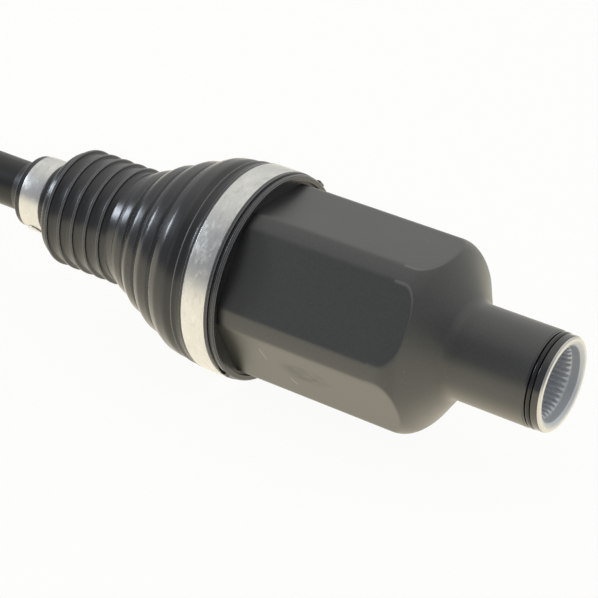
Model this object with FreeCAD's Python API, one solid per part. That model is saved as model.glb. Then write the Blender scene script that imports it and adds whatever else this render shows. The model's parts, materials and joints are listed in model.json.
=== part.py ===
import FreeCAD, Part
import math
import os

V = FreeCAD.Vector

# The shaft lies along X. X = 0 is the mouth of the splined sleeve, and every
# other station is a distance back from that mouth, along -X. One flat of the
# six-sided housing and one arm of the spider point straight up, along +Z.

# Splined sleeve
sleeve_r = 20.5
sleeve_length = 43.2
mouth_chamfer = 1.0
mouth_bevel = 1.2
nose_length = 7.4
nose_step = 0.3
pilot_r = 16.1
pilot_depth = 3.0
socket_teeth = 42
socket_root_r = 15.9
tooth_height = 0.9
root_share = 0.33
tip_share = 0.16
socket_length = 26.0
relief_depth = 6.0
relief_step = 0.5
ring_section_r = 1.1
ring_standout = 0.22
ring_groove_width = 2.6
ring_groove_start = 3.9
ring_clearance = 0.05

# Six-sided housing
housing_end = 156.0
corner_r = 41.7
flat_distance = 37.95
flat_count = 6
shoulder_length = 12.8
neck_fillet_r = 5.0
crown_fillet_r = 13.0
end_chamfer = 0.8

# Tripod joint
inner_centre = 104.0
arm_count = 3
arm_pitch_r = 26.0
roller_r = 16.5
roller_width = 12.0
barrel_r = 30.0
track_clearance = 0.06
track_shoulder = 2.2
roof_clearance = 2.5
plunge = 18.0
inner_angle = 16.0
pocket_spare = 1.2
rib_tip_r = 20.5
floor_share = 0.5
mouth_spare = 1.6
ball_trunnion_r = 9.0
trunnion_flat = 6.4
trunnion_neck_r = 6.4
trunnion_clearance = 0.07
ring_wall = 1.94
needle_r = 1.5
needle_count = 25
needle_clearance = 0.02
lip_thickness = 1.2
lip_cover = 0.8
end_play = 0.3
retainer_thickness = 1.0
retainer_bite = 0.7
retainer_gap = 2.4
hub_r = 15.5
hub_length = 24.0
hub_chamfer = 1.2

# Grease plug
plug_r = 13.0
plug_depth = 7.0
plug_wall = 1.0
plug_clearance = 0.02

# Bar
bar_r = 11.35
shaft_spline_r = 12.7
shaft_teeth = 27
shaft_tooth_height = 0.8
spline_clearance = 0.06
bar_end_stick_out = 4.0
stop_collar_r = 13.6
stop_collar_width = 2.6
boot_seat_r = 13.8
outer_seat_r = 13.0
seat_blend = 9.0
clip_thickness = 1.5
clip_bite = 1.6
clip_standout = 1.5
clip_gap_angle = 36.0
clip_clearance = 0.15
bar_end_chamfer = 1.0

# Inner boot, its adapter and clamps
boot_wall = 2.0
soft_clearance = 0.05
adapter_start = 138.0
adapter_r = 43.0
adapter_flange = 2.0
lip_depth = 1.2
tab_width = 4.0
tab_height = 1.0
tab_length = 2.4
tab_count = 2
tab_angle = 135.0
clamp_start = 141.3
clamp_width = 11.6
clamp_thickness = 1.0
lap_start_angle = 215.0
lap_sweep = 52.0
lap_margin = 1.0
lap_share = 0.6
ear_width = 7.5
ear_height = 3.2
ear_angle = 18.5
collar_lip = 1.0
collar_margin = 3.0
collar_band = 5.6
collar_edge_r = 45.6
lobe_count = 4
lobe_first = 167.0
lobe_first_pitch = 12.6
lobe_last_pitch = 7.5
lobe_first_r = 45.0
lobe_last_r = 30.1
lobe_dip = 0.6
lobe_crown = 0.6
crease_share = 0.6
crest_first = 241.0
crest_pitch = 7.1
crest_count = 5
crest_r = 26.6
root_r = 25.3
crest_width = 1.2
small_clamp_start = 253.3
small_clamp_width = 11.0
small_clamp_thickness = 0.9

# Outer ball joint
outer_centre = 530.0
ball_r = 8.73
ball_count = 6
ball_pitch_r = 30.0
groove_offset = 4.0
groove_clearance = 0.15
race_half_width = 13.0
sphere_clearance = 0.06
cage_r = 30.5
cage_wall = 4.44
cage_half_width = 13.2
window_axial_clearance = 0.42
window_length = 20.8
window_corner_r = 3.5
bell_r = 43.5
bell_mouth = 19.0
bell_mouth_offset = 17.8
bell_waist = 16.0
bell_round_r = 16.0
bell_flange = 6.0
bell_flange_fillet_r = 5.0
bell_back_r = 31.0
bell_back = 40.0
groove_depth_back = 21.0
bell_seat_depth = 0.6
bell_seat_start = 15.6
bell_seat_width = 11.0
journal_r = 19.0
journal_length = 7.0
stub_spline_r = 14.0
stub_teeth = 28
stub_tooth_height = 1.0
stub_spline_length = 40.0
stub_relief_r = 12.4
stub_relief_length = 3.0
stub_relief_step = 1.2
thread_r = 12.0
thread_length = 20.0
stub_end_chamfer = 1.5
centre_drill_r = 3.0
centre_drill_depth = 4.0

# Outer boot and its clamps
outer_boot_small_start = 92.0
outer_boot_small_width = 14.0
outer_clamp_width = 10.0
outer_clamp_thickness = 1.0
outer_small_clamp_width = 9.0
outer_crest_count = 6
outer_crest_drop = 0.15
outer_crest_last_r = 24.0
outer_crest_width = 2.4
outer_fold_depth = 8.5
outer_fold_start = 6.0

# Sizes that follow from the ones above
nose_r = sleeve_r - nose_step
housing_full = sleeve_length + shoulder_length
track_r = barrel_r + track_clearance
track_half = roller_r + track_clearance
roller_low = arm_pitch_r - roller_width / 2
roller_high = arm_pitch_r + roller_width / 2
roof = roller_high + roof_clearance
arm_lever = arm_pitch_r * 1.5
arm_travel = arm_lever * math.sin(math.radians(inner_angle))
pocket_end = inner_centre - plunge - arm_travel - roller_r - pocket_spare
ring_bore_r = ball_trunnion_r + trunnion_clearance
ring_r = ring_bore_r + ring_wall
needle_pitch_r = ring_r + needle_r + needle_clearance
roller_bore_r = needle_pitch_r + needle_r + needle_clearance
lip_bore_r = ring_r - lip_cover
ring_low = roller_low + lip_thickness + end_play
ring_high = roller_high - lip_thickness - end_play
hub_half = hub_length / 2
bar_inner_end = inner_centre - hub_half - bar_end_stick_out
spider_back = inner_centre + hub_half
clamp_end = clamp_start + clamp_width
collar_r = adapter_r + soft_clearance + boot_wall
boot_end = adapter_start - lip_depth
small_clamp_end = small_clamp_start + small_clamp_width
groove_path_r = math.hypot(ball_pitch_r, groove_offset)
groove_r = ball_r + groove_clearance
cage_bore_r = cage_r - cage_wall
race_r = cage_bore_r - sphere_clearance
bell_sphere_r = cage_r + sphere_clearance
bar_outer_end = outer_centre + race_half_width + bar_end_stick_out
race_front = outer_centre - race_half_width


def place(station, y, z):
    return V(-station, y, z)


def rounded_corner(before, corner, after, radius):
    """the two ends and the middle of the arc that rounds one corner of an outline"""
    towards = (before - corner).normalize()
    away = (after - corner).normalize()
    half = towards.getAngle(away) / 2
    middle_line = (towards + away).normalize()
    centre = corner + middle_line * (radius / math.sin(half))
    run = radius / math.tan(half)
    return corner + towards * run, centre - middle_line * radius, corner + away * run


def turned(points):
    """closed outline turned about the shaft line: (station, radius) pairs, or with a third
    value where that corner is rounded"""
    corners = [place(p[0], 0, p[1]) for p in points]
    starts = []
    ends = []
    edges = []
    for number, point in enumerate(points):
        here = corners[number]
        if len(point) == 3:
            first, middle, last = rounded_corner(corners[number - 1], here,
                                                 corners[(number + 1) % len(corners)], point[2])
            edges.append(Part.Arc(first, middle, last).toShape())
            starts.append(first)
            ends.append(last)
        else:
            starts.append(here)
            ends.append(here)
    for number, end in enumerate(ends):
        start = starts[(number + 1) % len(starts)]
        if end.distanceToPoint(start) > 1e-6:
            edges.append(Part.makeLine(end, start))
    face = Part.Face(Part.Wire(Part.__sortEdges__(edges)))
    return face.revolve(V(0, 0, 0), V(1, 0, 0), 360)


def drum(r, start, end):
    return Part.makeCylinder(r, end - start, place(end, 0, 0), V(1, 0, 0))


def hoop(outer_r, inner_r, start, end):
    return drum(outer_r, start, end).cut(drum(inner_r, start - 1, end + 1))


def around(shape, angle):
    turned_shape = shape.copy()
    turned_shape.rotate(V(0, 0, 0), V(1, 0, 0), angle)
    return turned_shape


def spline_prism(tip_r, foot_r, teeth, start, end, grow):
    """bar with straight-flanked teeth; grow widens every tooth for a clearance"""
    points = []
    step = 2 * math.pi / teeth
    for tooth in range(teeth):
        middle = tooth * step
        root_half = step * root_share + grow / foot_r
        tip_half = step * tip_share + grow / tip_r
        for r, turn in ((foot_r + grow, -root_half), (tip_r + grow, -tip_half),
                        (tip_r + grow, tip_half), (foot_r + grow, root_half)):
            a = middle + turn
            points.append(place(end, r * math.cos(a), r * math.sin(a)))
    points.append(points[0])
    face = Part.Face(Part.makePolygon(points))
    return face.extrude(V(end - start, 0, 0))


def hexagon(distance, start, end):
    points = []
    across = distance / math.cos(math.pi / flat_count)
    for corner in range(flat_count):
        a = math.pi / 2 + (corner + 0.5) * 2 * math.pi / flat_count
        points.append(place(end, across * math.cos(a), across * math.sin(a)))
    points.append(points[0])
    face = Part.Face(Part.makePolygon(points))
    return face.extrude(V(end - start, 0, 0))


# Housing

def housing_blank():
    outline = [
        (0, 0), (0, nose_r - mouth_chamfer), (mouth_chamfer, nose_r),
        (nose_length - nose_step, nose_r), (nose_length, sleeve_r),
        (sleeve_length, sleeve_r, neck_fillet_r), (housing_full, corner_r, crown_fillet_r),
        (housing_end - end_chamfer, corner_r), (housing_end, corner_r - end_chamfer),
        (housing_end, 0),
    ]
    return turned(outline).common(hexagon(flat_distance, -1, housing_end + 1))


def track_profile(end):
    """cross-section of one roller track: bowed sides that hold the barrelled roller, rounded roof"""
    def side(height):
        reach = math.sqrt(track_r ** 2 - (height - arm_pitch_r) ** 2)
        return track_half - track_r + reach
    low = roller_low - track_shoulder
    top = roof - track_shoulder
    roof_half = side(top) - track_shoulder
    floor = rib_tip_r * floor_share
    left = [place(end, -side(low), low), place(end, -side(arm_pitch_r), arm_pitch_r),
            place(end, -side(top), top)]
    right = [place(end, side(top), top), place(end, side(arm_pitch_r), arm_pitch_r),
             place(end, side(low), low)]
    edges = [
        Part.makeLine(place(end, -side(low), floor), left[0]),
        Part.Arc(left[0], left[1], left[2]).toShape(),
        Part.makeLine(left[2], place(end, -roof_half, roof)),
        Part.makeLine(place(end, -roof_half, roof), place(end, roof_half, roof)),
        Part.makeLine(place(end, roof_half, roof), right[0]),
        Part.Arc(right[0], right[1], right[2]).toShape(),
        Part.makeLine(right[2], place(end, side(low), floor)),
        Part.makeLine(place(end, side(low), floor), place(end, -side(low), floor)),
    ]
    return Part.Face(Part.Wire(edges))


def track():
    """one pocket that ends in the round of the roller that runs in it"""
    prism = track_profile(housing_end + 1).extrude(V(housing_end + 1 - pocket_end, 0, 0))
    end_r = track_half + end_play
    middle = pocket_end + end_r
    round_end = Part.makeCylinder(end_r, roof + 2, place(middle, 0, -1), V(0, 0, 1))
    rest = Part.makeBox(housing_end + 2 - middle, 2 * end_r, roof + 2,
                        place(housing_end + 2, -end_r, -1))
    return prism.common(round_end.fuse(rest))


def swept_bar_mouth():
    """room in the ribs for the bar at full angle with the joint pushed right in"""
    slope = math.tan(math.radians(inner_angle))
    start = inner_centre - plunge
    swing_r = bar_r / math.cos(math.radians(inner_angle)) + mouth_spare
    first = start + (rib_tip_r - swing_r) / slope
    end = housing_end + 1
    end_r = swing_r + (end - start) * slope
    return Part.makeCone(end_r, rib_tip_r, end - first, place(end, 0, 0), V(1, 0, 0))


def sleeve_bore():
    socket_end = pilot_depth + socket_length
    relief_end = socket_end + relief_depth
    relief_r = socket_root_r + relief_step
    entry = Part.makeCone(socket_root_r - tooth_height - relief_step, pilot_r, 2 * mouth_bevel,
                          place(pilot_depth + 2 * mouth_bevel, 0, 0), V(1, 0, 0))
    bevel = Part.makeCone(pilot_r, pilot_r + mouth_bevel, mouth_bevel, place(mouth_bevel, 0, 0),
                          V(1, 0, 0))
    teeth = spline_prism(socket_root_r, socket_root_r - tooth_height, socket_teeth,
                         pilot_depth - 1, socket_end + 1, 0)
    bore = drum(pilot_r, -1, pilot_depth).fuse(bevel).fuse(entry).fuse(teeth)
    bore = bore.fuse(drum(relief_r, socket_end, relief_end))
    return bore.fuse(drum(plug_r, relief_end - 1, pocket_end + 1))


def inner_housing():
    cavity = drum(rib_tip_r, pocket_end + track_shoulder, housing_end + 1)
    for arm in range(arm_count):
        cavity = cavity.fuse(around(track(), arm * 360 / arm_count))
    cavity = cavity.fuse(swept_bar_mouth())
    shape = housing_blank().cut(cavity).cut(sleeve_bore())
    shape = shape.cut(drum(plug_r, pocket_end - plug_depth, pocket_end + track_shoulder + 1))
    groove_floor_r = nose_r + ring_standout - 2 * ring_section_r - ring_clearance
    groove_end = ring_groove_start + ring_groove_width
    return shape.cut(hoop(sleeve_r + 1, groove_floor_r, ring_groove_start, groove_end))


def sleeve_seal_ring():
    major = nose_r + ring_standout - ring_section_r
    middle = ring_groove_start + ring_groove_width / 2
    return Part.makeTorus(major, ring_section_r, place(middle, 0, 0), V(1, 0, 0))


def grease_plug():
    outer_r = plug_r - plug_clearance
    end = pocket_end + track_shoulder
    start = end - plug_depth
    cup = drum(outer_r, start, end)
    return cup.cut(drum(outer_r - plug_wall, start + plug_wall, end + 1))


# Roller sets, made for the arm that points up

def upright_ring(outer_r, inner_r, low, high):
    foot = place(inner_centre, 0, low)
    ring = Part.makeCylinder(outer_r, high - low, foot, V(0, 0, 1))
    hole = Part.makeCylinder(inner_r, high - low + 2, place(inner_centre, 0, low - 1), V(0, 0, 1))
    return ring.cut(hole)


def roller():
    """barrelled roller with a lip below the needles and a groove for its retainer above them"""
    edge_drop = barrel_r - math.sqrt(barrel_r ** 2 - (roller_width / 2) ** 2)
    low_point = place(inner_centre - roller_r + edge_drop, 0, roller_low)
    mid_point = place(inner_centre - roller_r, 0, arm_pitch_r)
    top_point = place(inner_centre - roller_r + edge_drop, 0, roller_high)
    axis_low = place(inner_centre, 0, roller_low)
    axis_high = place(inner_centre, 0, roller_high)
    wire = Part.Wire([Part.makeLine(axis_low, low_point),
                      Part.Arc(low_point, mid_point, top_point).toShape(),
                      Part.makeLine(top_point, axis_high), Part.makeLine(axis_high, axis_low)])
    body = Part.Face(wire).revolve(axis_low, V(0, 0, 1), 360)
    low = roller_low + lip_thickness
    body = body.cut(Part.makeCylinder(lip_bore_r, roller_width + 2,
                                      place(inner_centre, 0, roller_low - 1), V(0, 0, 1)))
    body = body.cut(Part.makeCylinder(roller_bore_r, roller_width,
                                      place(inner_centre, 0, low), V(0, 0, 1)))
    groove_low = roller_high - lip_thickness - ring_clearance
    retainer_groove_r = roller_bore_r + retainer_bite + ring_clearance
    groove_height = retainer_thickness + 2 * ring_clearance
    return body.cut(Part.makeCylinder(retainer_groove_r, groove_height,
                                      place(inner_centre, 0, groove_low), V(0, 0, 1)))


def roller_retainer():
    low = roller_high - lip_thickness
    ring = upright_ring(roller_bore_r + retainer_bite, lip_bore_r, low, low + retainer_thickness)
    gap = Part.makeBox(roller_bore_r * 2, retainer_gap, retainer_thickness + 2,
                       place(inner_centre, -retainer_gap / 2, low - 1))
    return ring.cut(gap)


def trunnion_ring():
    return upright_ring(ring_r, ring_bore_r, ring_low, ring_high)


def needle_set():
    needles = []
    for number in range(needle_count):
        a = 2 * math.pi * number / needle_count
        foot = place(inner_centre + needle_pitch_r * math.cos(a), needle_pitch_r * math.sin(a),
                     ring_low)
        needles.append(Part.makeCylinder(needle_r, ring_high - ring_low, foot, V(0, 0, 1)))
    return Part.makeCompound(needles)


# Spider and bar

def tripod_spider():
    start = inner_centre - hub_half
    hub = turned([(start, 0), (start, hub_r - hub_chamfer), (start + hub_chamfer, hub_r),
                  (spider_back - hub_chamfer, hub_r), (spider_back, hub_r - hub_chamfer),
                  (spider_back, 0)])
    neck = Part.makeCylinder(trunnion_neck_r, arm_pitch_r, place(inner_centre, 0, 0), V(0, 0, 1))
    ball = Part.makeSphere(ball_trunnion_r, place(inner_centre, 0, arm_pitch_r))
    slab = Part.makeCylinder(ball_trunnion_r + 1, 2 * trunnion_flat,
                             place(inner_centre, 0, arm_pitch_r - trunnion_flat), V(0, 0, 1))
    arm = neck.fuse(ball.common(slab))
    for number in range(arm_count):
        hub = hub.fuse(around(arm, number * 360 / arm_count))
    bore = spline_prism(shaft_spline_r, shaft_spline_r - shaft_tooth_height, shaft_teeth,
                        start - 1, spider_back + 1, spline_clearance)
    return hub.cut(bore)


def clip(hub_face, towards_end):
    """open spring ring in a groove of the bar, hard against the piece that it holds"""
    near = hub_face + towards_end * clip_clearance
    far = near + towards_end * clip_thickness
    start = min(near, far)
    ring = hoop(shaft_spline_r + clip_standout, shaft_spline_r - clip_bite + clip_clearance,
                start, start + clip_thickness)
    half = math.tan(math.radians(clip_gap_angle / 2)) * shaft_spline_r * 2
    wedge = Part.Face(Part.makePolygon([
        place(start + clip_thickness + 1, 0, 0),
        place(start + clip_thickness + 1, -half, -shaft_spline_r * 2),
        place(start + clip_thickness + 1, half, -shaft_spline_r * 2),
        place(start + clip_thickness + 1, 0, 0)]))
    return ring.cut(wedge.extrude(V(clip_thickness + 2, 0, 0)))


def clip_groove(hub_face, towards_end):
    near = hub_face + towards_end * clip_clearance / 2
    far = near + towards_end * (clip_thickness + clip_clearance)
    start = min(near, far)
    return hoop(shaft_spline_r + 1, shaft_spline_r - clip_bite, start,
                start + clip_thickness + clip_clearance)


def spider_circlip():
    return clip(inner_centre - hub_half, -1)


def race_circlip():
    return clip(outer_centre + race_half_width, 1)


def shaft_bar():
    neck_start = spider_back + stop_collar_width
    neck_end = race_front - stop_collar_width
    outer_seat_start = outer_centre - outer_boot_small_start - outer_boot_small_width
    outer_seat_end = outer_centre - outer_boot_small_start
    outline = [
        (spider_back, 0), (spider_back, stop_collar_r), (neck_start, stop_collar_r),
        (neck_start + seat_blend / 2, bar_r),
        (small_clamp_start - seat_blend, bar_r), (small_clamp_start - collar_margin, boot_seat_r),
        (small_clamp_end + collar_margin, boot_seat_r), (small_clamp_end + seat_blend, bar_r),
        (outer_seat_start - seat_blend, bar_r), (outer_seat_start, outer_seat_r),
        (outer_seat_end, outer_seat_r), (outer_seat_end + seat_blend, bar_r),
        (neck_end - seat_blend / 2, bar_r), (neck_end, stop_collar_r),
        (race_front, stop_collar_r), (race_front, 0),
    ]
    bar = turned(outline)
    root = shaft_spline_r - shaft_tooth_height
    for start, end in ((bar_inner_end, spider_back + 1), (race_front - 1, bar_outer_end)):
        tips = turned([(start, 0), (start, root - bar_end_chamfer),
                       (start + bar_end_chamfer, shaft_spline_r + 1),
                       (end - bar_end_chamfer, shaft_spline_r + 1),
                       (end, root - bar_end_chamfer), (end, 0)])
        bar = bar.fuse(spline_prism(shaft_spline_r, root, shaft_teeth, start, end, 0).common(tips))
    bar = bar.cut(clip_groove(inner_centre - hub_half, -1))
    return bar.cut(clip_groove(outer_centre + race_half_width, 1))


# Inner boot and what holds it

def housing_adapter():
    """ring with a round outside and a six-sided inside, stopped against the housing's end"""
    end = housing_end + soft_clearance + adapter_flange
    slope = math.tan(math.radians(inner_angle))
    swing_r = bar_r / math.cos(math.radians(inner_angle)) + mouth_spare
    throat_r = swing_r + (end + 1 - inner_centre + plunge) * slope
    inside = drum(corner_r + soft_clearance, adapter_start - 1, housing_end + soft_clearance)
    inside = inside.common(hexagon(flat_distance + soft_clearance, adapter_start - 2,
                                   housing_end + 2))
    return drum(adapter_r, adapter_start, end).cut(inside).cut(drum(throat_r, housing_end - 1, end + 1))


def lobe_crests():
    """(station, radius, distance to the next) of each smooth lobe, the widest first"""
    crests = []
    station = lobe_first
    for number in range(lobe_count):
        share = number / (lobe_count - 1)
        gap = lobe_first_pitch + (lobe_last_pitch - lobe_first_pitch) * share
        crests.append((station, lobe_first_r + (lobe_last_r - lobe_first_r) * share, gap))
        station += gap
    return crests


def boot_outline():
    """outside of the boot from its large lip to its small end, as (station, radius)"""
    lip_r = collar_r + collar_lip
    seat_in = clamp_start - soft_clearance
    seat_out = clamp_end + soft_clearance
    band_end = clamp_end + collar_band
    crests = lobe_crests()
    points = [
        (boot_end, collar_r), (boot_end + lip_depth / 2, collar_r + collar_lip / 2),
        (seat_in - 2 * lip_depth, collar_r + collar_lip / 2), (seat_in - 2 * lip_depth, collar_r),
        (seat_in - lip_depth, lip_r), (seat_in, lip_r), (seat_in, collar_r), (seat_out, collar_r),
        (seat_out, lip_r), (seat_out + lip_depth, lip_r), (seat_out + 2 * lip_depth, collar_r),
        (band_end - lip_depth, collar_r), (band_end, collar_edge_r),
        (band_end + lip_depth, collar_edge_r - 2 * lip_depth),
    ]
    for number, (station, r, gap) in enumerate(crests):
        last = number + 1 == len(crests)
        next_r = root_r + crest_width if last else crests[number + 1][1] - lobe_dip
        points.append((station - gap / 3, r - lobe_crown))
        points.append((station, r))
        points.append((station + gap / 3, r - 2 * lobe_crown))
        points.append((station + gap * crease_share, next_r))
    for crest in range(crest_count - 1, -1, -1):
        station = crest_first - crest * crest_pitch
        points.append((station - crest_pitch / 2, root_r))
        points.append((station - crest_width / 2, crest_r))
        points.append((station + crest_width / 2, crest_r))
    seat_r = boot_seat_r + soft_clearance + boot_wall
    shoulder = crest_first + crest_pitch * crease_share
    points.append((shoulder, root_r - lobe_crown))
    points.append((shoulder + collar_margin, seat_r + collar_lip))
    points.append((small_clamp_start - soft_clearance, seat_r + collar_lip))
    points.append((small_clamp_start - soft_clearance, seat_r))
    points.append((small_clamp_end + soft_clearance, seat_r))
    points.append((small_clamp_end + soft_clearance, seat_r + collar_lip / 2))
    points.append((small_clamp_end + collar_margin, seat_r + collar_lip / 2))
    return points


def boot_tab(angle):
    """small moulded tab on the boot's large end"""
    foot = collar_r - boot_wall / 2
    tab = Part.makeBox(tab_length, tab_width, collar_r + collar_lip / 2 + tab_height - foot,
                       place(boot_end + lip_depth / 2 + tab_length, -tab_width / 2, foot))
    return around(tab, angle)


def inner_boot():
    outside = boot_outline()
    crests = lobe_crests()
    stop = housing_end + adapter_flange + 3 * soft_clearance
    shoulder = crest_first + crest_pitch * crease_share
    inside = [(small_clamp_end + collar_margin, boot_seat_r + soft_clearance),
              (shoulder + collar_margin, boot_seat_r + soft_clearance),
              (shoulder - boot_wall, root_r - boot_wall)]
    for crest in range(crest_count):
        inside.append((crest_first - (crest + 0.5) * crest_pitch, root_r - boot_wall))
    for number in range(len(crests) - 1, -1, -1):
        station, r, gap = crests[number]
        inside.append((station + gap / 3, r - boot_wall - 2 * lobe_crown))
        inside.append((station - gap / 3, r - boot_wall - 2 * lobe_crown))
    inside.append((stop, collar_edge_r - 2 * lip_depth - boot_wall))
    inside.append((stop, adapter_r + soft_clearance))
    inside.append((boot_end, adapter_r + soft_clearance))
    boot = turned(outside + inside)
    for number in range(tab_count):
        boot = boot.fuse(boot_tab(tab_angle + number * 360 / tab_count))
    return boot


def band(inner_r, thickness, start, width):
    return hoop(inner_r + thickness, inner_r, start, start + width)


def lapped_end(inner_r, thickness, start, width):
    """free end of a flat band, lying over its own start"""
    end = start + width
    lap_start_r = inner_r + thickness
    lap_end_r = lap_start_r + thickness * lap_share
    lap = hoop(lap_end_r, lap_start_r - thickness / 4, start + lap_margin, end - lap_margin)
    reach = lap_end_r * 2
    corners = [place(end + 1, 0, 0)]
    for angle in (lap_start_angle, lap_start_angle + lap_sweep):
        a = math.radians(angle)
        corners.append(place(end + 1, reach * math.cos(a), reach * math.sin(a)))
    sector = Part.Face(Part.makePolygon(corners + [corners[0]]))
    return lap.common(sector.extrude(V(width + 2, 0, 0)))


def pinched_ear(inner_r, thickness, start, width, angle):
    """hollow ear, pinched to draw the band tight, at an angle from straight down"""
    end = start + width
    foot = inner_r + thickness / 2
    block = Part.makeBox(width - 2 * lap_margin, ear_width, ear_height + thickness / 2,
                         place(end - lap_margin, -ear_width / 2, foot))
    along = [e for e in block.Edges if e.BoundBox.XLength > width / 2 and e.BoundBox.ZMin > foot + 1]
    block = block.makeFillet(ear_width / 3, along)
    inside_height = ear_height - thickness
    hollow = Part.makeBox(width + 2, ear_width - 2 * thickness, inside_height,
                          place(end + 1, -ear_width / 2 + thickness, inner_r + thickness))
    return around(block.cut(hollow), 180 + angle)


def inner_large_clamp():
    seat_r = collar_r + soft_clearance
    ring = band(seat_r, clamp_thickness, clamp_start, clamp_width)
    return ring.fuse(pinched_ear(seat_r, clamp_thickness, clamp_start, clamp_width, ear_angle))


def inner_small_clamp():
    seat_r = boot_seat_r + 2 * soft_clearance + boot_wall
    ring = band(seat_r, small_clamp_thickness, small_clamp_start, small_clamp_width)
    return ring.fuse(lapped_end(seat_r, small_clamp_thickness, small_clamp_start,
                                small_clamp_width))


# Outer ball joint

def ball_direction(number):
    a = math.radians(30 + number * 360 / ball_count)
    return V(0, math.cos(a), math.sin(a))


def groove_tori(centre_offset):
    """one ring-shaped cutter makes the two grooves that face each other"""
    cutters = []
    for number in range(ball_count // 2):
        axis = ball_direction(number).cross(V(1, 0, 0))
        centre = place(outer_centre - centre_offset, 0, 0)
        cutters.append(Part.makeTorus(groove_path_r, groove_r, centre, axis))
    return cutters


def race_ball(number):
    return Part.makeSphere(ball_r, place(outer_centre, 0, 0) + ball_direction(number) * ball_pitch_r)


def inner_race():
    start = outer_centre - race_half_width
    end = outer_centre + race_half_width
    race = Part.makeSphere(race_r, place(outer_centre, 0, 0)).common(drum(race_r + 1, start, end))
    for cutter in groove_tori(-groove_offset):
        race = race.cut(cutter)
    return race.cut(spline_prism(shaft_spline_r, shaft_spline_r - shaft_tooth_height,
                                 shaft_teeth, start - 1, end + 1, spline_clearance))


def ball_cage():
    centre = place(outer_centre, 0, 0)
    start = outer_centre - cage_half_width
    end = outer_centre + cage_half_width
    cage = Part.makeSphere(cage_r, centre).common(drum(cage_r + 1, start, end))
    cage = cage.cut(Part.makeSphere(cage_bore_r, centre))
    width = 2 * (ball_r + window_axial_clearance)
    for number in range(ball_count):
        window = Part.makeBox(width, window_length, cage_r,
                              place(outer_centre + width / 2, -window_length / 2, cage_r / 2))
        upright = [e for e in window.Edges if e.BoundBox.ZLength > cage_r / 2]
        window = window.makeFillet(window_corner_r, upright)
        cage = cage.cut(around(window, 30 - 90 + number * 360 / ball_count))
    return cage


def bell_outline():
    c = outer_centre
    back = c + bell_back
    seat_start = c - bell_seat_start
    seat_end = seat_start + bell_seat_width
    journal_end = back + journal_length
    spline_start = journal_end + stub_relief_length
    spline_end = spline_start + stub_spline_length
    relief_end = spline_end + stub_relief_length
    thread_end = relief_end + thread_length
    root = stub_spline_r - stub_tooth_height
    return [
        (c - bell_mouth, 0), (c - bell_mouth, bell_r - end_chamfer),
        (c - bell_mouth + end_chamfer, bell_r), (seat_start, bell_r),
        (seat_start + bell_seat_depth, bell_r - bell_seat_depth),
        (seat_end - bell_seat_depth, bell_r - bell_seat_depth), (seat_end, bell_r),
        (c + bell_waist, bell_r, bell_round_r),
        (back - bell_flange, bell_back_r, bell_flange_fillet_r),
        (back - end_chamfer, bell_back_r), (back, bell_back_r - end_chamfer),
        (back, journal_r), (journal_end - end_chamfer, journal_r),
        (journal_end, journal_r - end_chamfer), (spline_start, root),
        (spline_end, root), (spline_end, stub_relief_r), (relief_end, stub_relief_r - stub_relief_step),
        (relief_end + stub_relief_step, thread_r), (thread_end - stub_end_chamfer, thread_r),
        (thread_end, thread_r - stub_end_chamfer), (thread_end, 0),
    ]


def outer_bell():
    bell = turned(bell_outline())
    journal_end = outer_centre + bell_back + journal_length
    start = journal_end + stub_relief_length
    end = start + stub_spline_length
    tips = turned([(start, 0), (start, stub_spline_r - stub_tooth_height),
                   (start + stub_end_chamfer, stub_spline_r + 1),
                   (end - stub_end_chamfer, stub_spline_r + 1),
                   (end, stub_spline_r - stub_tooth_height), (end, 0)])
    teeth = spline_prism(stub_spline_r, stub_spline_r - stub_tooth_height, stub_teeth,
                         start - 0.5, end, 0).common(tips)
    bell = bell.fuse(teeth)
    bell = bell.cut(Part.makeSphere(bell_sphere_r, place(outer_centre, 0, 0)))
    apex = outer_centre + bell_mouth_offset
    mouth = outer_centre - bell_mouth - 2
    bell = bell.cut(Part.makeCone(0, apex - mouth, apex - mouth, place(apex, 0, 0), V(1, 0, 0)))
    reach = drum(bell_r + 5, outer_centre - bell_mouth - 5, outer_centre + groove_depth_back)
    for cutter in groove_tori(groove_offset):
        bell = bell.cut(cutter.common(reach))
    tip = end + stub_relief_length + thread_length
    drill = Part.makeCone(centre_drill_r, 0, centre_drill_depth, place(tip, 0, 0), V(1, 0, 0))
    return bell.cut(drill)


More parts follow.
